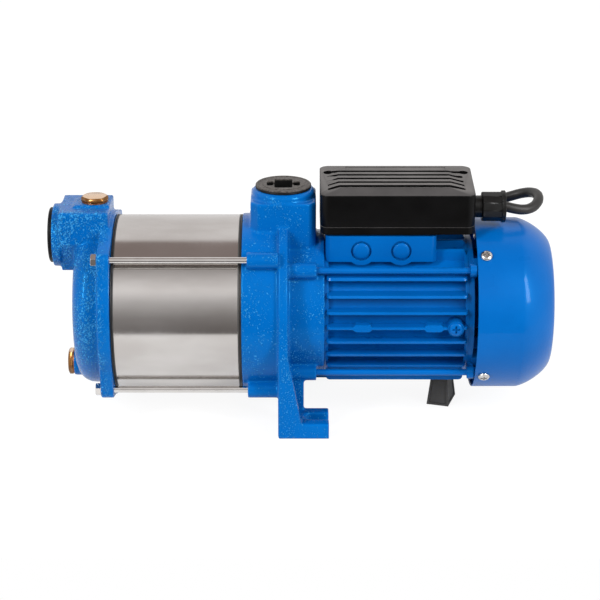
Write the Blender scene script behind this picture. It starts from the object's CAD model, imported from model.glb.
from math import atan2, cos, pi, radians, sin, sqrt

import bmesh
import bpy
from mathutils import Euler, Matrix, Vector


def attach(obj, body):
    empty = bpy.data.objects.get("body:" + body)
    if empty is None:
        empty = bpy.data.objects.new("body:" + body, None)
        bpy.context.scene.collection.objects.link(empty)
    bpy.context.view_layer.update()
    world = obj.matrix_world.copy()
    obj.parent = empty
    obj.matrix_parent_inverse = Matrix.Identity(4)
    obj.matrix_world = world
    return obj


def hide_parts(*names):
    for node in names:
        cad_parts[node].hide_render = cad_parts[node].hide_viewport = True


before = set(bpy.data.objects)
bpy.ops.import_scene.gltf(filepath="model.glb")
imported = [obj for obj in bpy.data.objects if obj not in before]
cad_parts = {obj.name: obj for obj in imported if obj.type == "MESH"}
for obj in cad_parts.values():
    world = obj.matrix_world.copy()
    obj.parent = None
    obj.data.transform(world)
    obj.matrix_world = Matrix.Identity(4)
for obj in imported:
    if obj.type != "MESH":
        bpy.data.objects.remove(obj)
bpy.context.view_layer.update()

# Camera and lamps. The pump was photographed from the side, a little from above, with a long
# lens in a white tent: one camera and two tall window lamps at the height of a person do the
# same. Places are in metres, powers in watts.
view_tilt = radians(20.5)
view_distance = 1.5
view_target = Vector((-0.009, 0.0, 0.0863))
camera_data = bpy.data.cameras.new("camera")
camera_data.lens = 112.5
camera_data.clip_end = 20
camera = bpy.data.objects.new("camera", camera_data)
camera.location = view_target + view_distance * Vector((0, -cos(view_tilt), sin(view_tilt)))
camera.rotation_euler = (pi / 2 - view_tilt, 0, 0)
bpy.context.collection.objects.link(camera)
bpy.context.scene.camera = camera
bpy.context.scene.view_settings.view_transform = "Standard"


def lamp(name, place, aim, width, height, power):
    """A tall lamp with level edges that faces its aim."""
    data = bpy.data.lights.new(name, "AREA")
    data.shape = "RECTANGLE"
    data.size = width
    data.size_y = height
    data.energy = power
    light = bpy.data.objects.new(name, data)
    light.location = place
    light.rotation_euler = (Vector(aim) - Vector(place)).to_track_quat("-Z", "Y").to_euler()
    bpy.context.collection.objects.link(light)


lamp("left_lamp", place=(-1.0, -1.0, 1.0), aim=(-0.05, 0, 0.08), width=0.26, height=1.0, power=19)
lamp("right_lamp", place=(1.2, -1.1, 1.0), aim=(0.05, 0, 0.08), width=0.42, height=1.1, power=24)


# Floor and backdrop. A sheet of white paper that ends a little in front of the pump, under a
# white tent that is open towards the camera; neither is part of the object. The camera sees
# both as white, and the sheet keeps the pump's soft shadow.
class Wire:
    """A socket in a finish, so that shader sums read as plain sums."""

    def __init__(self, finish, socket):
        self.finish = finish
        self.socket = socket

    def maths(self, operation, *terms):
        """A Math node on values and other sockets."""
        return self.finish.node("ShaderNodeMath", {"operation": operation},
                                dict(enumerate(terms)))

    def __add__(self, other):
        return self.maths("ADD", self, other)

    def __sub__(self, other):
        return self.maths("SUBTRACT", self, other)

    def __rsub__(self, other):
        return self.maths("SUBTRACT", other, self)

    def __mul__(self, other):
        return self.maths("MULTIPLY", self, other)

    __radd__ = __add__
    __rmul__ = __mul__

    def ramp(self, low, high, start=0.0, end=1.0):
        """The value taken from start..end to low..high, smoothly and held at both ends."""
        settings = {"interpolation_type": "SMOOTHSTEP"}
        sockets = {"Value": self, "From Min": start, "From Max": end, "To Min": low, "To Max": high}
        return self.finish.node("ShaderNodeMapRange", settings, sockets)


class Finish:
    """A material under construction: a surface shader, and nodes added one at a time."""

    def __init__(self, name, world=None, **constants):
        self.material = world or bpy.data.materials.new(name)
        self.material.use_nodes = True
        self.tree = self.material.node_tree
        self.surface = self.tree.nodes.get("Principled BSDF")
        for socket, value in constants.items():
            self.surface.inputs[socket.replace("_", " ")].default_value = value

    def node(self, kind, settings=None, sockets=None, out=0):
        """A node of a kind: its settings or a ramp's stops first, then values and links."""
        made = self.tree.nodes.new(kind)
        for setting, value in (settings or {}).items():
            if setting == "stops":
                stops = made.color_ramp.elements
                stops.remove(stops[1])
                stops[0].position, stops[0].color = value[0]
                for spot, colour in value[1:]:
                    stops.new(spot).color = colour
            else:
                setattr(made, setting, value)
        for socket, value in (sockets or {}).items():
            self.join(value, made.inputs[socket])
        return Wire(self, made.outputs[out])

    def join(self, value, socket):
        """Links a wire to a socket, or sets a plain value there."""
        if isinstance(value, Wire):
            self.tree.links.new(value.socket, socket)
        else:
            socket.default_value = value

    def place(self, scale=(1, 1, 1)):
        """Object coordinates in metres, scaled along each axis."""
        spot = self.node("ShaderNodeTexCoord", out="Object")
        return self.node("ShaderNodeMapping", {}, {"Vector": spot, "Scale": scale})

    def noise(self, size, detail=2.0, spot=None, distortion=0.0):
        """Cloudy noise whose features are about size metres across, from 0 to 1."""
        sockets = {"Vector": spot or self.place(), "Scale": 1 / size, "Detail": detail,
                   "Distortion": distortion}
        return self.node("ShaderNodeTexNoise", {}, sockets)

    def along(self, vector, axis):
        """One part of a vector: axis 0 is along X, 1 along Y and 2 along Z."""
        return self.node("ShaderNodeSeparateXYZ", {}, {0: vector}, out=axis)

    def blend(self, share, low, high):
        """A colour that goes from low to high with share."""
        return self.node("ShaderNodeMix", {"data_type": "RGBA"}, {0: share, 6: low, 7: high}, out=2)

    def edge(self, radius):
        """Normals that round the sharp edges by radius metres."""
        return self.node("ShaderNodeBevel", {"samples": 4}, {"Radius": radius})

    def relief(self, height, depth, under=None):
        """A bump of depth metres where height goes from 0 to 1."""
        sockets = {"Height": height, "Strength": 1.0, "Distance": depth}
        if under:
            sockets["Normal"] = under
        return self.node("ShaderNodeBump", {}, sockets)

    def finish(self, **varying):
        """Feeds what changes over the surface into the surface shader."""
        for socket, value in varying.items():
            self.join(value, self.surface.inputs[socket.replace("_", " ")])


bpy.ops.object.select_all(action="DESELECT")
sheet_size, sheet_front, sheet_level = 12, -0.27, -0.0002
bpy.ops.mesh.primitive_plane_add(size=sheet_size,
                                 location=(0, sheet_front + sheet_size / 2, sheet_level))
floor_sheet = bpy.context.object
floor_sheet.name = "floor"
bpy.ops.object.transform_apply(location=True, rotation=True, scale=True)
paper = Finish("white_paper", Roughness=0.85)
grain = paper.noise(0.02, detail=3)
paper.finish(Base_Color=paper.blend(grain, (0.72, 0.72, 0.72, 1), (0.76, 0.76, 0.76, 1)))
seen = paper.node("ShaderNodeLightPath", out="Is Camera Ray")
mirrored = paper.node("ShaderNodeLightPath", out="Is Glossy Ray")
seen_glow, mirrored_glow, glow_strength = 0.8, 0.35, 1.12
glow = paper.node("ShaderNodeEmission", {}, {"Color": (1, 1, 1, 1), "Strength": glow_strength})
lit_paper = Wire(paper, paper.surface.outputs[0])
paper.join(paper.node("ShaderNodeMixShader", {},
                      {0: seen * seen_glow + mirrored * mirrored_glow, 1: lit_paper, 2: glow}),
           paper.tree.nodes["Material Output"].inputs["Surface"])
floor_sheet.data.materials.append(paper.material)


# Tent. White cloth stands round the set, bright overhead and at both sides and dim in front; its
# brightness follows the angle of a ray, as the bands that the polished sleeve mirrors show.
tent = Finish("tent", bpy.data.worlds.new("tent"))
bpy.context.scene.world = tent.material
ray = tent.node("ShaderNodeTexCoord", out="Generated")
rise = tent.node("ShaderNodeMath", {"operation": "ARCTAN2"},
                 {0: tent.along(ray, 2), 1: 0 - tent.along(ray, 1)})
# Degrees up from the front, over the top and down behind, with the brightness and warmth there
cloth_bands = ((-60, 0.2, 0.1), (-24, 0.17, 0.1), (0, 0.34, 0.05), (20, 0.62, 0.03),
               (34, 1.0, 0.03), (48, 0.82, 0.03), (62, 0.52, 0.05), (73, 0.42, 0.1),
               (75, 0.35, 0.2), (104, 0.35, 0.2), (110, 0.95, 0.03), (180, 0.86, 0.03))
cloth_stops = [(0, (0.7, 0.7, 0.7, 1))]
for angle, shade, warmth in cloth_bands:
    cloth_stops.append(((angle + 180) / 360,
                        (shade, shade * (1 - 0.8 * warmth), shade * (1 - warmth), 1)))
cloth = tent.node("ShaderNodeValToRGB", {"stops": cloth_stops}, {0: rise * (0.5 / pi) + 0.5})
sideways = tent.node("ShaderNodeMath", {"operation": "ABSOLUTE"}, {0: tent.along(ray, 0)})
side_cloth = (0.85, 0.85, 0.84, 1)
tent_light = tent.tree.nodes["Background"]
tent_light.inputs["Strength"].default_value = 1.0
tent.join(tent.blend(sideways.ramp(0, 1, 0.3, 0.85), cloth, side_cloth),
          tent_light.inputs["Color"])
white = tent.node("ShaderNodeBackground", {}, {"Color": (1, 1, 1, 1), "Strength": 1.0})
camera_ray = tent.node("ShaderNodeLightPath", out="Is Camera Ray")
tent.join(tent.node("ShaderNodeMixShader", {},
                    {0: camera_ray, 1: Wire(tent, tent_light.outputs[0]), 2: white}),
          tent.tree.nodes["World Output"].inputs["Surface"])


# Mains lead and plug. A round three-core lead in a black rubber jacket: it leaves the gland,
# turns back behind the terminal box, goes down to the floor and lies there in a flat coil of
# four turns, with its moulded two-pin plug beside it. Its points are in millimetres.
lead_d = 0.008
lead_free = [(150.9, -10, 168), (158, -10, 166.2), (165.5, -8.8, 165), (172.5, -4.8, 165.4),
             (177.4, 2, 167.4), (179.2, 10, 169), (178.4, 18, 169.4), (175, 25.4, 168.4),
             (169, 30.6, 166.2), (161.5, 33.6, 163.2), (154, 37, 159.6), (147.5, 42.5, 154.6),
             (143, 50.5, 147.4), (141, 59.5, 137.6), (140.6, 67, 125.6), (141.6, 72.6, 111.4),
             (143, 76.4, 95), (144.4, 78.8, 78), (144.8, 80.2, 60), (143.4, 80, 43),
             (139.4, 78.4, 28), (132.6, 75.4, 14.8), (123.6, 75, 6.4), (114, 76.6, 4.4),
             (110.2, 77, 4.3)]
lead_tail = [(93.8, 77, 13), (88, 77.2, 13), (80, 78.6, 13), (72, 82, 13), (64, 87.4, 13),
             (56, 93.2, 13), (48, 98, 13), (40, 100, 13), (34, 100, 13)]
coil_turns = 4


def coil_point(turn):
    """A point on the coil in millimetres: inwards on the floor, outwards on top."""
    outer_radius, pitch, floor_level, layer = 51, 8.6, 4.2, 8.8
    radius = outer_radius - pitch * (coil_turns / 2 - abs(turn - coil_turns / 2))
    rise = min(max(2 * (turn - coil_turns / 2) + 0.5, 0), 1)
    level = floor_level + layer * rise * rise * (3 - 2 * rise)
    angle = -pi / 2 - 2 * pi * turn
    return (102 + radius * cos(angle), 128 + radius * sin(angle), level)


coil_steps = 24
lead_line = (lead_free
             + [coil_point(step / coil_steps) for step in range(coil_turns * coil_steps + 1)]
             + lead_tail)
lead_curve = bpy.data.curves.new("mains_lead", "CURVE")
lead_curve.dimensions = "3D"
lead_curve.bevel_depth = lead_d / 2
lead_curve.bevel_resolution = 5
lead_curve.resolution_u = 5
lead_curve.use_fill_caps = True
lead_spline = lead_curve.splines.new("BEZIER")
lead_spline.bezier_points.add(len(lead_line) - 1)
for knot, spot in zip(lead_spline.bezier_points, lead_line):
    knot.co = Vector(spot) / 1000
    knot.handle_left_type = knot.handle_right_type = "AUTO"
mains_lead = bpy.data.objects.new("mains_lead", lead_curve)
bpy.context.collection.objects.link(mains_lead)

jacket = Finish("rubber_jacket", Roughness=0.5, Specular_IOR_Level=0.4)
dust = jacket.noise(0.011, detail=4)
pores = jacket.noise(0.0006, detail=2)
jacket.finish(Base_Color=jacket.blend(dust, (0.009, 0.0085, 0.0085, 1), (0.022, 0.02, 0.019, 1)),
              Roughness=dust.ramp(0.36, 0.52),
              Normal=jacket.relief(pores, 0.00006))


def turned(name, rings, sides=64, angle=35, cap=False):
    """A round piece about Z, drawn out ring by ring from (radius, level) in millimetres."""
    bpy.ops.object.select_all(action="DESELECT")
    radius, level = rings[0]
    bpy.ops.mesh.primitive_circle_add(vertices=sides, radius=radius / 1000,
                                      fill_type="NOTHING", location=(0, 0, level / 1000))
    piece = bpy.context.object
    piece.name = name
    bpy.ops.object.transform_apply(location=True, rotation=True, scale=True)
    bpy.ops.object.mode_set(mode="EDIT")
    bpy.ops.mesh.select_mode(type="VERT")
    for next_radius, next_level in rings[1:]:
        bpy.ops.mesh.extrude_region_move(
            TRANSFORM_OT_translate={"value": (0, 0, (next_level - level) / 1000)})
        if next_radius:
            share = next_radius / radius
            bpy.ops.transform.resize(value=(share, share, 1), center_override=(0, 0, 0))
        else:
            bpy.ops.mesh.merge(type="CENTER")
        radius, level = next_radius, next_level
    close_up(angle, cap)
    return piece


def close_up(angle=35, cap=False):
    """Merges what meets, turns all faces outwards and rounds the shading below an angle."""
    bpy.ops.object.mode_set(mode="EDIT")
    bpy.ops.mesh.select_all(action="SELECT")
    bpy.ops.mesh.remove_doubles(threshold=0.000002)
    if cap:
        bpy.ops.mesh.fill_holes(sides=0)
    bpy.ops.mesh.normals_make_consistent(inside=False)
    bpy.ops.object.mode_set(mode="OBJECT")
    bpy.ops.object.shade_smooth_by_angle(angle=radians(angle))


def block(name, low, high):
    """A box from its low to its high corner in millimetres, all selected in edit mode."""
    bpy.ops.object.select_all(action="DESELECT")
    bpy.ops.mesh.primitive_cube_add(size=0.001, location=(Vector(low) + Vector(high)) / 2000)
    piece = bpy.context.object
    piece.name = name
    piece.scale = Vector(high) - Vector(low)
    bpy.ops.object.transform_apply(location=True, rotation=True, scale=True)
    bpy.ops.object.mode_set(mode="EDIT")
    return piece


def pick(piece, test, kind="faces"):
    """Selects the faces, edges or corners of the piece in edit mode for which test holds."""
    bpy.ops.mesh.select_mode(type={"faces": "FACE", "edges": "EDGE", "verts": "VERT"}[kind])
    bpy.ops.mesh.select_all(action="DESELECT")
    form = bmesh.from_edit_mesh(piece.data)
    for item in getattr(form, kind):
        if test(item):
            item.select_set(True)
    bmesh.update_edit_mesh(piece.data)


def joined(name, pieces):
    """Makes one piece of several."""
    bpy.ops.object.select_all(action="DESELECT")
    for piece in pieces:
        piece.select_set(True)
    bpy.context.view_layer.objects.active = pieces[0]
    if len(pieces) > 1:
        bpy.ops.object.join()
    pieces[0].name = name
    return pieces[0]


def seat(piece, place, turn=(0, 0, 0)):
    """Puts a piece in its place in millimetres, with the place in its mesh."""
    piece.data.transform(Matrix.LocRotScale(Vector(place) / 1000, Euler(turn), None))
    return piece


def fit(piece, finish, body, slot, *nodes):
    """Gives a piece its finish, the body it rides on, its slot and the nodes it stands for."""
    piece.data.materials.append(finish.material)
    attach(piece, body)
    if nodes:
        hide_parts(*nodes)


fit(mains_lead, jacket, "housing", "cord_rubber", "power_cord", "cord_coil", "cord_tail")

# The plug's body, narrowed and rounded towards the lead, with grip ribs on its broad sides
plug_skin = Finish("plug_rubber", Roughness=0.45)
plug_haze = plug_skin.noise(0.006, detail=4)
plug_skin.finish(
    Base_Color=plug_skin.blend(plug_haze, (0.014, 0.014, 0.015, 1), (0.03, 0.03, 0.031, 1)),
    Roughness=plug_haze.ramp(0.38, 0.55),
    Normal=plug_skin.relief(plug_skin.noise(0.0004), 0.00004))
plug_across, plug_level = 100, 13
plug_body = block("plug_body", (-15.4, plug_across - 18, 0.2), (18.5, plug_across + 18, 25.8))
pick(plug_body, lambda face: face.normal.x > 0.5)
bpy.ops.mesh.extrude_region_move(TRANSFORM_OT_translate={"value": (0, 0, 0)})
bpy.ops.transform.resize(value=(1, 0.52, 0.66), center_override=(0, 0.1, 0.013))
pick(plug_body, lambda edge: edge.verts[0].co.x > 0.018 and edge.verts[1].co.x > 0.018
     and edge.calc_length() > 0.023, "edges")
bpy.ops.transform.translate(value=(-0.012, 0, 0))
bpy.ops.mesh.select_all(action="SELECT")
bpy.ops.mesh.bevel(offset=0.0042, offset_type="OFFSET", segments=5, affect="EDGES")
bpy.ops.object.mode_set(mode="OBJECT")
close_up(50)
plug_ribs = []
rib_pitch, rib_width = 3.4, 1.6
for side in (-1, 1):
    for step in range(5):
        start, centre = -10 + rib_pitch * step, plug_level + side * 10.6
        rib = block("plug_rib", (start, plug_across - 8, centre - 2.1),
                    (start + rib_width, plug_across + 8, centre + 2.1))
        bpy.ops.mesh.bevel(offset=0.0007, segments=3, affect="EDGES")
        bpy.ops.object.mode_set(mode="OBJECT")
        close_up(50)
        plug_ribs.append(rib)
relief_rings = [(4.1, 0.2), (5.2, 0), (5.3, 0.6)]
for step in range(5):
    level = 1.4 + 2.9 * step
    relief_rings += [(4.7, level), (4.7, level + 0.9), (5.5 + 0.2 * step, level + 1.2),
                     (5.5 + 0.2 * step, level + 2.4)]
relief_rings += [(6.5, 15.9), (0, 16)]
plug_relief = seat(turned("plug_relief", relief_rings, 40, cap=True),
                   (34, plug_across, plug_level), (0, -pi / 2, 0))
mains_plug = joined("mains_plug", [plug_body, plug_relief] + plug_ribs)
fit(mains_plug, plug_skin, "housing", "cord_rubber", "cord_plug")

# The two round contact pins, nickel on brass
nickel = Finish("pin_nickel", Metallic=1.0, Roughness=0.18)
nickel_cloud = nickel.noise(0.003, detail=3)
nickel.finish(Base_Color=nickel.blend(nickel_cloud, (0.56, 0.54, 0.5, 1), (0.74, 0.72, 0.68, 1)),
              Roughness=nickel_cloud.ramp(0.12, 0.28, 0.3, 0.7))
plug_pins = joined("plug_pins", [
    seat(turned("plug_pin", [(2.4, 0), (2.4, 17.4), (2.1, 18.4), (1.3, 18.9), (0, 19)], 32,
                cap=True),
         (-15, plug_across + side * 9.5, plug_level), (0, -pi / 2, 0)) for side in (-1, 1)])
fit(plug_pins, nickel, "housing", "zinc_steel")


# Suction casing. One grey-iron sand casting, sprayed with glossy blue enamel over the raw cast
# skin: the port with its filler pad, the pan, the ring against the sleeve and the bolt lugs.
# Its corners are as soft as the sand leaves them, so a rounded copy stands for the solid.
def soft_casting(node, name, grain_size, most_faces):
    """A copy of a CAD node whose edges and corners are rounded all over, as a casting's are."""
    bpy.ops.object.select_all(action="DESELECT")
    piece = bpy.data.objects.new(name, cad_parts[node].data.copy())
    bpy.context.collection.objects.link(piece)
    bpy.context.view_layer.objects.active = piece
    piece.select_set(True)
    bpy.ops.object.mode_set(mode="EDIT")
    bpy.ops.mesh.select_all(action="SELECT")
    bpy.ops.mesh.remove_doubles(threshold=0.000001)
    bpy.ops.object.mode_set(mode="OBJECT")
    skin = piece.modifiers.new("skin", "REMESH")
    skin.mode = "VOXEL"
    skin.voxel_size = grain_size
    bpy.ops.object.modifier_apply(modifier=skin.name)
    tumble = piece.modifiers.new("tumble", "SMOOTH")
    tumble.factor = 0.5
    tumble.iterations = 5
    bpy.ops.object.modifier_apply(modifier=tumble.name)
    thin = piece.modifiers.new("thin", "DECIMATE")
    thin.ratio = min(1.0, most_faces / (2 * len(piece.data.polygons)))
    bpy.ops.object.modifier_apply(modifier=thin.name)
    bpy.ops.object.shade_smooth()
    piece.data.materials.clear()
    return piece


def blue_tone(coat):
    """The enamel's blue, a little cloudy, with darker specks where it lies thin."""
    cloud = coat.noise(0.05, detail=3).ramp(0, 1, 0.3, 0.7)
    specks = coat.noise(0.0011, detail=2).ramp(0, 0.35, 0.6, 0.8)
    return coat.blend(specks, coat.blend(cloud, (0.0, 0.094, 0.36, 1), (0.0, 0.108, 0.4, 1)),
                      (0.0, 0.068, 0.28, 1))


def cast_enamel(name, depth, cover, smooth_from):
    """Gloss enamel over a raw cast skin: sand grains stand up as pale glossy worms and dots.

    Depth is in metres, cover is the height from which a grain shows, and the skin is nearly
    smooth past the station smooth_from along X.
    """
    coat = Finish(name, Specular_IOR_Level=0.45, Specular_Tint=(0.08, 0.6, 1.0, 1))
    raw = coat.along(coat.place(), 0).ramp(1, 0.2, smooth_from, smooth_from + 0.006)
    zones = coat.noise(0.026, detail=2).ramp(0.05, -0.07, 0.35, 0.65)
    worms = coat.noise(0.0013, detail=1, distortion=0.7) + zones
    grains = worms.ramp(0, 1, cover, cover + 0.14) * raw
    coat.finish(Base_Color=coat.blend(grains * 0.6, blue_tone(coat), (0.05, 0.34, 0.7, 1)),
                Roughness=grains.ramp(0.2, 0.1),
                Normal=coat.relief(grains + coat.noise(0.012, detail=2) * 0.6, depth))
    return coat


casing_skin = soft_casting("suction_casing", "suction_casing_skin", 0.0009, 180000)
casing_enamel = cast_enamel("casing_enamel", 0.0006, 0.5, -0.162)
casing_skin.data.materials.append(casing_enamel.material)
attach(casing_skin, "housing")
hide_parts("suction_casing")


# Port caps. Two black push-in caps of moulded polyethylene keep the ports clean until the pump
# is piped up; their skin is satin with a slight moulding haze, and dust lies on the upper one.
cap_skin = Finish("black_cap", Roughness=0.4, Specular_IOR_Level=0.22)
cap_haze = cap_skin.noise(0.012, detail=4)
upper_cap_top = 0.1832
cap_dust = (cap_skin.noise(0.0016, detail=3).ramp(0.35, 1, 0.35, 0.65)
            * cap_skin.along(cap_skin.place(), 2).ramp(0, 1, upper_cap_top - 0.001, upper_cap_top))
cap_skin.finish(
    Base_Color=cap_skin.blend(cap_dust, (0.004, 0.004, 0.004, 1), (0.095, 0.085, 0.078, 1)),
    Roughness=cap_haze.ramp(0.38, 0.54, 0.3, 0.7),
    Normal=cap_skin.relief(cap_skin.noise(0.002, detail=3), 0.00006, cap_skin.edge(0.0005)))


def carve(piece, tool):
    """Cuts the tool out of the piece."""
    cut = piece.modifiers.new("cut", "BOOLEAN")
    cut.operation = "DIFFERENCE"
    cut.solver = "EXACT"
    cut.object = tool
    bpy.ops.object.select_all(action="DESELECT")
    bpy.context.view_layer.objects.active = piece
    bpy.ops.object.modifier_apply(modifier=cut.name)
    bpy.data.objects.remove(tool)


def port_cap(name):
    """A cap along Z: ribbed skirt, stepped flange, and a recess with a pocket at each side."""
    rib_radius, groove_radius, rib_pitch = 15.05, 14.4, 1.8
    skirt = [(13.2, -9), (groove_radius, -9), (rib_radius, -8.2)]
    for rib in range(4):
        rise = rib_pitch * rib
        skirt += [(rib_radius, rise - 7.6), (groove_radius, rise - 7.2),
                  (groove_radius, rise - 6.8), (rib_radius, rise - 6.3)]
    flange = [(rib_radius, 0), (21.2, 0), (21.75, 0.5), (21.75, 1.2), (21.5, 1.45), (21.75, 1.7),
              (21.75, 2.5), (21.1, 3.2), (19.9, 3.2), (19.5, 2.8), (16.6, 2.8), (16.2, 3.2),
              (0, 3.2)]
    cap = turned(name, skirt + flange, 96, cap=True)
    bottom, above = -7, 5
    # The middle, the bar that joins the pockets, and the pocket at each side
    for left, front, right, back in ((-7, -11.4, 7, 11.4), (-12, -3, 12, 3),
                                     (-13, -5.8, -7.8, 5.8), (7.8, -5.8, 13, 5.8)):
        way = block("way", (left, front, bottom), (right, back, above))
        pick(way, lambda edge: abs(edge.verts[0].co.z - edge.verts[1].co.z) > 0.01, "edges")
        bpy.ops.mesh.bevel(offset=0.0018, segments=4, affect="EDGES")
        bpy.ops.object.mode_set(mode="OBJECT")
        carve(cap, way)
    bpy.ops.object.select_all(action="DESELECT")
    cap.select_set(True)
    bpy.context.view_layer.objects.active = cap
    bpy.ops.object.shade_smooth_by_angle(angle=radians(35))
    return cap


discharge_x, suction_face = -22, -202.62
upper_cap = seat(port_cap("upper_cap"), (discharge_x, 0, 180.52))
fit(upper_cap, cap_skin, "discharge_port_cap", "cap_plastic", "discharge_cap")
front_cap = seat(seat(port_cap("front_cap"), (0, 0, 0), (0, 0, radians(110))),
                 (suction_face, 0, 141.5), (0, -pi / 2, 0))
fit(front_cap, cap_skin, "suction_port_cap", "cap_plastic", "suction_cap")


# Filling and drain plugs. Turned brass plugs with hexagon heads, each on a copper washer: dull
# yellow brown at the sides, where they have been handled, and bright on the faced top.
def turned_metal(name, dark, light, rough, depth=0.00003):
    """A machined metal: fine tool marks, a cloudy tarnish and slightly broken edges."""
    metal = Finish(name, Metallic=1.0, Roughness=rough)
    tarnish = metal.noise(0.004, detail=4)
    marks = metal.noise(0.00035, detail=2, spot=metal.place(scale=(1, 1, 5)))
    metal.finish(Base_Color=metal.blend(tarnish.ramp(0, 1, 0.3, 0.7), dark, light),
                 Roughness=tarnish.ramp(rough + 0.12, rough - 0.06, 0.3, 0.7),
                 Normal=metal.relief(marks, depth, metal.edge(0.0004)))
    return metal


def dress(finish, *nodes):
    """Gives CAD nodes their finish."""
    for node in nodes:
        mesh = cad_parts[node].data
        mesh.materials.clear()
        mesh.materials.append(finish.material)


brass = Finish("plug_brass", Metallic=1.0, Roughness=0.26)
tarnish = brass.noise(0.005, detail=4)
handled = brass.blend(tarnish.ramp(0, 1, 0.3, 0.7), (0.2, 0.085, 0.026, 1), (0.34, 0.17, 0.06, 1))
upward = brass.along(brass.node("ShaderNodeNewGeometry", out="Normal"), 2)
brass.finish(Base_Color=brass.blend(upward.ramp(0, 1, 0.8, 0.95), handled, (0.84, 0.62, 0.44, 1)),
             Roughness=tarnish.ramp(0.34, 0.22, 0.3, 0.7),
             Normal=brass.relief(brass.noise(0.0009, detail=2), 0.00002, brass.edge(0.0005)))


def hexagon_plug(name):
    """A brass pipe plug along Z with its washer's seat at 0: hexagon, collar and thread."""
    head = turned("plug_head", [(10.68, 1.2), (10.68, 4.8), (0, 4.8)], 6, angle=20, cap=True)
    edge = turned("head_edge", [(10.9, 0.5), (10.9, 3.75), (9.0, 4.8), (0, 4.8)], 64, cap=True)
    keep = head.modifiers.new("chamfer", "BOOLEAN")
    keep.operation = "INTERSECT"
    keep.solver = "EXACT"
    keep.object = edge
    bpy.ops.object.select_all(action="DESELECT")
    bpy.context.view_layer.objects.active = head
    bpy.ops.object.modifier_apply(modifier=keep.name)
    bpy.data.objects.remove(edge)
    bpy.ops.object.shade_smooth_by_angle(angle=radians(12))
    crest, root, thread_pitch = 6.42, 5.85, 1.2
    thread = [(5.9, -12)]
    for ridge in range(9):
        rise = thread_pitch * ridge
        thread += [(crest, rise - 11.6), (crest, rise - 11.35),
                   (root, rise - 11.0), (root, rise - 10.75)]
    thread += [(crest, -0.6), (crest, 0.82), (9.1, 0.84), (9.25, 1.0), (9.25, 1.3), (0, 1.3)]
    return joined(name, [head, turned("plug_thread", thread, 64, cap=True)])


filler_plug = seat(hexagon_plug("filler_plug"), (-169.9, 0, 169), (0, 0, radians(41)))
fit(filler_plug, brass, "filling_plug", "brass", "priming_plug")
outlet_plug = seat(hexagon_plug("outlet_plug"), (-190.9, 0, 34), (0, -pi / 2, 0))
fit(outlet_plug, brass, "emptying_plug", "brass", "drain_plug")
copper = turned_metal("washer_copper", (0.25, 0.1, 0.05, 1), (0.42, 0.2, 0.12, 1), 0.36)
dress(copper, "priming_washer", "drain_washer")


# Clamp rods. Zinc-plated M6 bolts that pull the casing against the bracket over the sleeve:
# bright, almost neutral plate, a little milky. The screws further on have the same plate.
zinc = turned_metal("zinc_plate", (0.5, 0.49, 0.47, 1), (0.78, 0.77, 0.76, 1), 0.16,
                    depth=0.000004)
rod_steel = Finish("rod_zinc", Metallic=1.0, Roughness=0.1)
rod_cloud = rod_steel.noise(0.01, detail=3)
rod_steel.finish(
    Base_Color=rod_steel.blend(rod_cloud, (0.6, 0.58, 0.56, 1), (0.78, 0.76, 0.74, 1)),
    Roughness=rod_cloud.ramp(0.05, 0.12, 0.3, 0.7), Normal=rod_steel.edge(0.0004))
dress(rod_steel, "tie_bolts")


# Sleeve. Rolled stainless tube, ground round and round, so that its fine lines run round the
# tube, and a little cloudy where it has been wiped.
sleeve_steel = Finish("ground_stainless", Metallic=1.0, Roughness=0.14)
lines = sleeve_steel.noise(0.0006, detail=2, spot=sleeve_steel.place(scale=(1, 0.06, 0.06)))
smears = sleeve_steel.noise(0.03, detail=3, spot=sleeve_steel.place(scale=(0.35, 1, 1)))
sleeve_steel.finish(
    Base_Color=sleeve_steel.blend(smears.ramp(0, 1, 0.3, 0.7), (0.52, 0.495, 0.475, 1),
                                  (0.62, 0.6, 0.585, 1)),
    Roughness=(smears.ramp(0.0, 0.05, 0.3, 0.7) + lines.ramp(0.1, 0.15, 0.3, 0.7)),
    Normal=sleeve_steel.relief(lines, 0.000002))
dress(sleeve_steel, "pump_sleeve")


# Sleeve seals. A moulded rubber ring at each end of the sleeve: a round bead against the
# casting, and a thinner, duller lip over the end of the tube.
shaft_height = 85
ring_rubber = Finish("seal_rubber", Roughness=0.55)
ring_haze = ring_rubber.noise(0.003, detail=3)
ring_rubber.finish(
    Base_Color=ring_rubber.blend(ring_haze, (0.004, 0.004, 0.004, 1), (0.012, 0.012, 0.012, 1)),
    Roughness=ring_haze.ramp(0.3, 0.5))
lip_rubber = Finish("seal_lip", Roughness=0.45)
lip_haze = lip_rubber.noise(0.004, detail=3)
lip_rubber.finish(
    Base_Color=lip_rubber.blend(lip_haze, (0.016, 0.015, 0.014, 1), (0.05, 0.048, 0.045, 1)),
    Roughness=lip_haze.ramp(0.35, 0.55))
for end, station, side in (("front", -154.6, 1), ("rear", -54.0, -1)):
    bead = turned("bead", [(68.4, 0.05), (69.3, 0.05), (69.8, 0.25), (70.0, 0.6), (70.0, 0.9),
                           (69.8, 1.2), (69.4, 1.35), (68.4, 1.35), (68.4, 0.05)], 160)
    lip = turned("lip", [(68.4, 1.35), (69.4, 1.4), (69.8, 1.6), (69.95, 1.95), (69.9, 2.4),
                         (69.6, 2.75), (68.4, 2.78), (68.4, 1.35)], 160)
    for ring, finish in ((bead, ring_rubber), (lip, lip_rubber)):
        ring.data.materials.append(finish.material)
        seat(ring, (station, 0, shaft_height), (0, side * pi / 2, 0))
    seal_ring = joined("sleeve_seal_" + end + "_ring", [bead, lip])
    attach(seal_ring, "housing")
    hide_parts("sleeve_seal_" + end)


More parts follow.
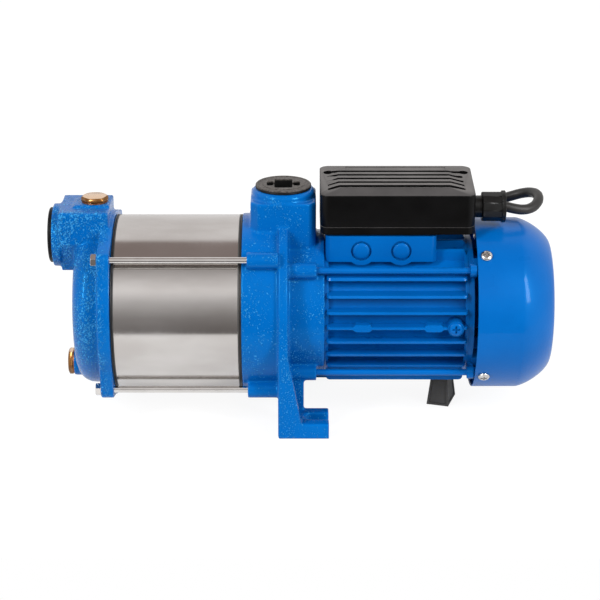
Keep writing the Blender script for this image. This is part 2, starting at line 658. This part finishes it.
# Pump stages. Moulded glass-filled cups with return vanes, and closed impellers: off-white
# plastic, slightly waxy, with the flow marks of the mould.
stage_plastic = Finish("stage_plastic", Roughness=0.42, Specular_IOR_Level=0.45)
flow = stage_plastic.noise(0.009, detail=4, distortion=1.2)
stage_plastic.finish(
    Base_Color=stage_plastic.blend(flow, (0.62, 0.6, 0.54, 1), (0.74, 0.72, 0.66, 1)),
    Roughness=flow.ramp(0.34, 0.5), Normal=stage_plastic.relief(flow, 0.00005))
dress(stage_plastic, "diffuser_1", "diffuser_2", "diffuser_3", "diffuser_4",
      "impeller_1", "impeller_2", "impeller_3", "impeller_4")


# Shaft. Turned and ground stainless bar, with the nut that holds the impellers; the tool marks
# run round it.
shaft_steel = turned_metal("shaft_steel", (0.46, 0.46, 0.45, 1), (0.66, 0.66, 0.65, 1), 0.22)
dress(shaft_steel, "shaft", "impeller_nut", "seal_spring", "fan_circlip")


# Shaft seal. A carbon face pressed by the spring on a ceramic seat: carbon is lapped grey
# black, the ceramic is white with a faint glaze.
carbon = Finish("seal_carbon", Roughness=0.3)
soot = carbon.noise(0.0012, detail=3)
carbon.finish(Base_Color=carbon.blend(soot, (0.015, 0.015, 0.016, 1), (0.045, 0.045, 0.047, 1)),
              Roughness=soot.ramp(0.24, 0.42))
dress(carbon, "seal_head")
ceramic = Finish("seal_ceramic", Roughness=0.2)
glaze = ceramic.noise(0.002, detail=3)
ceramic.finish(Base_Color=ceramic.blend(glaze, (0.72, 0.71, 0.68, 1), (0.82, 0.81, 0.78, 1)),
               Roughness=glaze.ramp(0.14, 0.28))
dress(ceramic, "seal_seat")


# Bracket. The second iron casting, in the same enamel: the ring behind the sleeve, the
# discharge tower, the web with its gussets and the slotted foot, and the motor's front flange.
bracket_skin = soft_casting("pump_bracket", "pump_bracket_skin", 0.0009, 190000)
bracket_enamel = cast_enamel("bracket_enamel", 0.0004, 0.6, 0.02)
bracket_skin.data.materials.append(bracket_enamel.material)
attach(bracket_skin, "housing")
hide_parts("pump_bracket")


# Motor frame. Die-cast aluminium with cooling fins, pads and the pedestal of the terminal box:
# a smoother skin than the iron's under the same enamel.
smooth_enamel = Finish("blue_smooth_enamel", Specular_IOR_Level=0.3, Coat_Weight=0.13,
                       Coat_Roughness=0.05, Specular_Tint=(0.05, 0.5, 1.0, 1))
peel = smooth_enamel.noise(0.002, detail=1) + smooth_enamel.noise(0.008) * 0.35
smooth_enamel.finish(
    Base_Color=blue_tone(smooth_enamel),
    Roughness=smooth_enamel.noise(0.05, detail=3).ramp(0.26, 0.36, 0.25, 0.75),
    Normal=smooth_enamel.relief(peel, 0.00006, smooth_enamel.edge(0.0007)))
dress(smooth_enamel, "motor_frame", "rear_end_shield", "motor_tie_rods")
# The four knock-outs of the pedestal are thin cast domes, to be struck out for another lead
domes = []
for side in (-1, 1):
    for station in (38.4, 69.4):
        dome = turned("dome", [(6.5, -0.4), (6.4, 0.1), (5.8, 0.5), (4.4, 0.9), (2.3, 1.15),
                               (0, 1.25)], 48, angle=60, cap=True)
        domes.append(seat(dome, (station, side * 33.4, 139), (-side * pi / 2, 0, 0)))
fit(joined("knock_out_domes", domes), smooth_enamel, "housing", "smooth_paint")


# Stator and rotor. Stacks of punched electrical sheet, blued by heat; the copper windings are
# varnished and tied at both ends.
sheet_steel = Finish("core_sheet", Metallic=1.0, Roughness=0.38)
sheets = sheet_steel.noise(0.0005, detail=1, spot=sheet_steel.place(scale=(1, 0.02, 0.02)))
bluing = sheet_steel.noise(0.012, detail=3)
sheet_steel.finish(
    Base_Color=sheet_steel.blend(bluing, (0.2, 0.2, 0.23, 1), (0.34, 0.33, 0.33, 1)),
    Roughness=bluing.ramp(0.3, 0.48), Normal=sheet_steel.relief(sheets, 0.00008))
dress(sheet_steel, "stator_core", "rotor_core")
copper_wire = turned_metal("winding_copper", (0.42, 0.14, 0.05, 1), (0.68, 0.28, 0.13, 1), 0.34)
dress(copper_wire, "stator_windings")


# Bearings. Two sealed ball bearings of hardened chrome steel, ground and polished, and the wave
# washer that loads them.
bearing_steel = turned_metal("bearing_steel", (0.55, 0.55, 0.55, 1), (0.76, 0.76, 0.76, 1), 0.14)
dress(bearing_steel, "front_bearing_outer", "front_bearing_inner", "front_bearing_balls",
      "rear_bearing_outer", "rear_bearing_inner", "rear_bearing_balls", "bearing_wave_washer")


# Cooling fan. A moulded nylon fan, black and slightly matt; it is pressed on the shaft's tail
# and held by a circlip.
fan_nylon = Finish("fan_nylon", Roughness=0.45)
nylon_haze = fan_nylon.noise(0.008, detail=4)
fan_nylon.finish(
    Base_Color=fan_nylon.blend(nylon_haze, (0.012, 0.012, 0.012, 1), (0.03, 0.03, 0.03, 1)),
    Roughness=nylon_haze.ramp(0.38, 0.56),
    Normal=fan_nylon.relief(fan_nylon.noise(0.0006), 0.00004, fan_nylon.edge(0.0005)))
dress(fan_nylon, "cooling_fan")


# Fan cover. Pressed from sheet steel with a sloped shoulder, slotted for the air in its end and
# enamelled; it slips over the end shield and four pan-head screws hold it.
def pan_head(name, head_r, head_h, shank_r, shank_l):
    """A pan-head screw with a cross recess, along Z with the head's underside at 0."""
    screw = turned(name, [(shank_r * 0.6, -shank_l), (shank_r, 0.6 - shank_l), (shank_r, 0),
                          (head_r * 0.97, 0), (head_r, head_h * 0.1), (head_r, head_h * 0.35),
                          (head_r * 0.93, head_h * 0.64), (head_r * 0.76, head_h * 0.87),
                          (head_r * 0.45, head_h * 0.98), (0, head_h)], 40, cap=True)
    for long, short in ((0.56, 0.13), (0.13, 0.56)):
        blade = block("blade", (-head_r * long, -head_r * short, head_h * 0.3),
                      (head_r * long, head_r * short, head_h * 2))
        bpy.ops.object.mode_set(mode="OBJECT")
        carve(screw, blade)
    return screw


cover_radius, shoulder_width, shoulder_length, fullness = 67.6, 18.6, 26, 1.43
cover_rings = [(67.3, 127.5), (cover_radius, 127.8), (cover_radius, 162.2)]
for step in range(1, 19):
    turn = radians(5 * step)
    cover_rings.append((cover_radius - shoulder_width * (1 - max(cos(turn), 0) ** fullness),
                        188.2 - shoulder_length * (1 - sin(turn) ** fullness)))
cover_rings += [(47.6, 188.32), (45, 188.42), (30, 188.96), (15, 189.5), (0, 190)]
cover_shell = seat(turned("fan_cover_shell", cover_rings, 160), (0, 0, shaft_height),
                   (0, pi / 2, 0))
sheet = cover_shell.modifiers.new("sheet", "SOLIDIFY")
sheet.thickness = 0.0012
sheet.offset = -1
bpy.ops.object.select_all(action="DESELECT")
bpy.context.view_layer.objects.active = cover_shell
bpy.ops.object.modifier_apply(modifier=sheet.name)
air_slots = []
slot_pitch, slot_half, slotted_radius = 8, 2, 44
for row in range(-5, 6):
    reach = sqrt(slotted_radius ** 2 - (slot_pitch * abs(row) + slot_half) ** 2)
    level = shaft_height + slot_pitch * row
    for side in (-1, 1):
        start, end = sorted((side * slot_half, side * reach))
        slot = block("air_slot", (180, start, level - slot_half), (195, end, level + slot_half))
        pick(slot, lambda edge: abs(edge.verts[0].co.x - edge.verts[1].co.x) > 0.01, "edges")
        bpy.ops.mesh.bevel(offset=0.0019, segments=4, affect="EDGES")
        bpy.ops.object.mode_set(mode="OBJECT")
        air_slots.append(slot)
carve(cover_shell, joined("air_slots", air_slots))
fit(cover_shell, smooth_enamel, "housing", "smooth_paint", "fan_cover")
cover_screws = []
for quarter in range(4):
    screw = pan_head("cover_screw", 4.6, 2.6, 1.9, 6.9)
    screw.data.transform(Matrix.Translation((0.1346, 0, shaft_height / 1000))
                         @ Matrix.Rotation(radians(45 + 90 * quarter - 6.5), 4, "X")
                         @ Matrix.Translation((0, 0, cover_radius / 1000)))
    cover_screws.append(screw)
fit(joined("cover_screws", cover_screws), zinc, "housing", "zinc_steel", "fan_cover_screws")
earth_screw = seat(pan_head("earth_screw", 5.2, 2, 2, 5.9), (111.2, -60.82, shaft_height),
                   (pi / 2, 0, 0))
fit(earth_screw, smooth_enamel, "housing", "smooth_paint", "ground_screw")


# Rubber foot. A moulded block under the motor that takes its weight: dull black rubber with
# panels sunk in its sides, a little dusty.
foot_rubber = Finish("foot_rubber", Roughness=0.6)
foot_dust = foot_rubber.noise(0.007, detail=4)
foot_rubber.finish(
    Base_Color=foot_rubber.blend(foot_dust, (0.014, 0.014, 0.014, 1), (0.04, 0.038, 0.036, 1)),
    Roughness=foot_dust.ramp(0.45, 0.7),
    Normal=foot_rubber.relief(foot_rubber.noise(0.0012, detail=3), 0.0001,
                              foot_rubber.edge(0.0009)))
foot_block = block("foot_block", (-9, -13.25, 0), (9, 13.25, 22.66))
pick(foot_block, lambda face: face.normal.z > 0.5)
bpy.ops.transform.resize(value=(0.74, 0.74, 1), center_override=(0, 0, 0))
pick(foot_block, lambda face: abs(face.normal.z) < 0.5)
bpy.ops.mesh.inset(thickness=0.0017, depth=0, use_individual=True)
bpy.ops.mesh.inset(thickness=0.0003, depth=-0.0009, use_individual=True)
bpy.ops.mesh.select_all(action="SELECT")
bpy.ops.mesh.bevel(offset=0.00014, segments=1, affect="EDGES")
bpy.ops.object.mode_set(mode="OBJECT")
close_up(25)
carve(foot_block, turned("foot_bore", [(0.001, -1), (4, -1), (4, 30), (0, 30)], 40))
fit(seat(foot_block, (106, 0, 0), (0, 0, radians(-17))), foot_rubber, "housing", "foot_rubber",
    "rubber_foot")


# Terminal box. Base and lid are moulded in black glass-filled plastic with a satin skin that
# dust dulls on top; they sit on a rubber gasket on the frame's pedestal, held by two screws.
lid_front, lid_rear, lid_half, lid_low, lid_shoulder = 6.6, 126.2, 33, 158.1, 183.6
lid_screw_stations, lid_screw_across = (13.0, 119.8), 16.65
gland_across, gland_level = -10, 168
box_plastic = Finish("box_plastic", Roughness=0.25, Specular_IOR_Level=0.12)
box_haze = box_plastic.noise(0.02, detail=4)
box_grain = box_plastic.noise(0.0007, detail=2)
facing_up = box_plastic.along(box_plastic.node("ShaderNodeNewGeometry", out="Normal"), 2)
settled = facing_up.ramp(0, 1, 0.3, 0.9)
level_top = facing_up.ramp(0, 1, 0.91, 0.98)
dusty = box_plastic.blend(level_top, (0.072, 0.068, 0.068, 1), (0.165, 0.158, 0.155, 1))
box_tone = box_plastic.blend(box_haze, (0.001, 0.001, 0.001, 1), (0.0025, 0.0024, 0.0025, 1))
box_plastic.finish(
    Base_Color=box_plastic.blend(settled * box_haze.ramp(0.6, 1), box_tone, dusty),
    Roughness=box_haze.ramp(0.3, 0.4, 0.3, 0.7) + settled * 0.3,
    Normal=box_plastic.relief(box_grain, 0.00003, box_plastic.edge(0.001)))
dress(box_plastic, "terminal_box_base")


def box_lid(name, inset, low, high):
    """The lid's outer form, drawn in by inset: rounded corners and a top between slopes.

    The corners are selected before the top, so that the bevel rounds only the upright edges.
    """
    form = block(name, (lid_front + inset, inset - lid_half, low),
                 (lid_rear - inset, lid_half - inset, high))
    pick(form, lambda edge: abs(edge.verts[0].co.z - edge.verts[1].co.z) > 0.01, "edges")
    bpy.ops.mesh.bevel(offset=(7 - inset) / 1000, segments=8, affect="EDGES")
    pick(form, lambda face: face.normal.z > 0.5)
    bpy.ops.mesh.extrude_region_move(TRANSFORM_OT_translate={"value": (-0.002, 0.0037, 0.0049)})
    top_length, top_width = 86.8, 52.6
    bpy.ops.transform.resize(
        value=((top_length - 2 * inset) / (lid_rear - lid_front - 2 * inset),
               (top_width - 2 * inset) / (2 * lid_half - 2 * inset), 1),
        center_override=((lid_front + lid_rear) / 2000 - 0.002, 0.0037, 0))
    pick(form, lambda vert: vert.co.y > 0.02 and abs(vert.co.z - high / 1000) < 0.00001, "verts")
    bpy.ops.transform.translate(value=(0, 0, 0.0046))
    return form


lid = box_lid("lid", 0, lid_low, lid_shoulder)
pick(lid, lambda edge: edge.calc_face_angle(0) > 0.25, "edges")
bpy.ops.mesh.bevel(offset=0.0006, segments=3, affect="EDGES")
bpy.ops.object.mode_set(mode="OBJECT")
close_up(30)
# Hollow inside but for the posts of its two screws
wall = 2.4
hollow = box_lid("hollow", wall, 150, lid_shoulder - wall)
close_up()
for station in lid_screw_stations:
    carve(hollow, seat(turned("post", [(4.6, 140), (4.6, 200), (0, 200)], 32, cap=True),
                       (station, lid_screw_across, 0)))
carve(lid, hollow)
# Five grooves along the top, and a sunk field for a plate behind them
ribs_top = box_lid("ribs_top", 0, 150, 181.8)
close_up()
grooves = []
groove_pitch, groove_half = 9.75, 2.1
for groove in range(5):
    across = 16.8 - groove_pitch * groove
    strip = block("groove", (12.5, across - groove_half, 170), (118.6, across + groove_half, 195))
    pick(strip, lambda edge: abs(edge.verts[0].co.z - edge.verts[1].co.z) > 0.01, "edges")
    bpy.ops.mesh.bevel(offset=0.0012, segments=3, affect="EDGES")
    bpy.ops.object.mode_set(mode="OBJECT")
    grooves.append(strip)
grooves = joined("grooves", grooves)
carve(grooves, ribs_top)
carve(lid, grooves)
plate = block("plate", (27, 20.4, 188.2), (106, 28.6, 195))
bpy.ops.object.mode_set(mode="OBJECT")
carve(lid, plate)
for station in lid_screw_stations:
    carve(lid, seat(turned("pocket", [(1.75, 150), (1.75, 180.2), (3.6, 180.2), (3.6, 200),
                                      (0, 200)], 32, cap=True), (station, lid_screw_across, 0)))
carve(lid, seat(turned("gland_way", [(8.65, 115), (8.65, 140), (0, 140)], 48, cap=True),
                (0, gland_across, gland_level), (0, pi / 2, 0)))
bpy.ops.object.select_all(action="DESELECT")
lid.select_set(True)
bpy.context.view_layer.objects.active = lid
bpy.ops.object.shade_smooth_by_angle(angle=radians(30))
fit(lid, box_plastic, "housing", "box_plastic", "terminal_box_lid")
lid_screw_pair = [seat(pan_head("lid_screw", 3.2, 1.6, 1.6, 25.2),
                       (station, lid_screw_across, 180.22)) for station in lid_screw_stations]
fit(joined("lid_screw_pair", lid_screw_pair), zinc, "housing", "zinc_steel", "lid_screws")
dress(ring_rubber, "terminal_gasket")


# Cable gland. Moulded in blacker nylon and screwed into the end of the box; its nut has a
# twelve-sided grip and a rim with six notches, open round the lead.
grip = turned("grip", [(8.8, 0), (11.1, 0), (11.75, 0.7), (11.75, 15.4), (8.8, 15.4), (8.8, 0)],
              12, angle=20)
bpy.ops.object.mode_set(mode="EDIT")
pick(grip, lambda edge: edge.calc_length() > 0.012, "edges")
bpy.ops.mesh.bevel(offset=0.0006, segments=3, affect="EDGES")
bpy.ops.object.mode_set(mode="OBJECT")
rim = turned("rim", [(8.8, 15.3), (12.1, 15.3), (12.5, 15.7), (12.5, 18.0), (12.1, 18.45),
                     (7, 18.45), (4.4, 17.2), (4.4, 16), (8.8, 15.3)], 72)
bpy.ops.object.mode_set(mode="EDIT")
pick(rim, lambda vert: vert.co.xy.length > 0.0119
     and abs((atan2(vert.co.y, vert.co.x) / radians(60) + 0.5) % 1 - 0.5) < 0.07, "verts")
bpy.ops.transform.resize(value=(0.93, 0.93, 1), center_override=(0, 0, 0))
bpy.ops.object.mode_set(mode="OBJECT")
gland_grip = joined("gland_grip", [grip, rim])
gland_nylon = Finish("gland_nylon", Roughness=0.32, Specular_IOR_Level=0.3)
gland_haze = gland_nylon.noise(0.006, detail=3)
gland_nylon.finish(
    Base_Color=gland_nylon.blend(gland_haze, (0.002, 0.002, 0.002, 1), (0.007, 0.007, 0.007, 1)),
    Roughness=gland_haze.ramp(0.26, 0.42),
    Normal=gland_nylon.relief(gland_haze, 0.00003, gland_nylon.edge(0.0004)))
fit(seat(gland_grip, (132.44, gland_across, gland_level), (0, pi / 2, 0)), gland_nylon,
    "housing", "box_plastic", "gland_nut")
dress(gland_nylon, "gland_body")
dress(ring_rubber, "gland_seal")


# Inside the box. The terminal block and the run capacitor, both in cream plastic; they sit in
# the base under the lid.
block_plastic = Finish("block_plastic", Roughness=0.4)
block_haze = block_plastic.noise(0.005, detail=3)
block_plastic.finish(
    Base_Color=block_plastic.blend(block_haze, (0.5, 0.48, 0.42, 1), (0.62, 0.6, 0.54, 1)),
    Roughness=block_haze.ramp(0.34, 0.48),
    Normal=block_plastic.relief(block_haze, 0.00004, block_plastic.edge(0.0004)))
dress(block_plastic, "terminal_block", "run_capacitor")
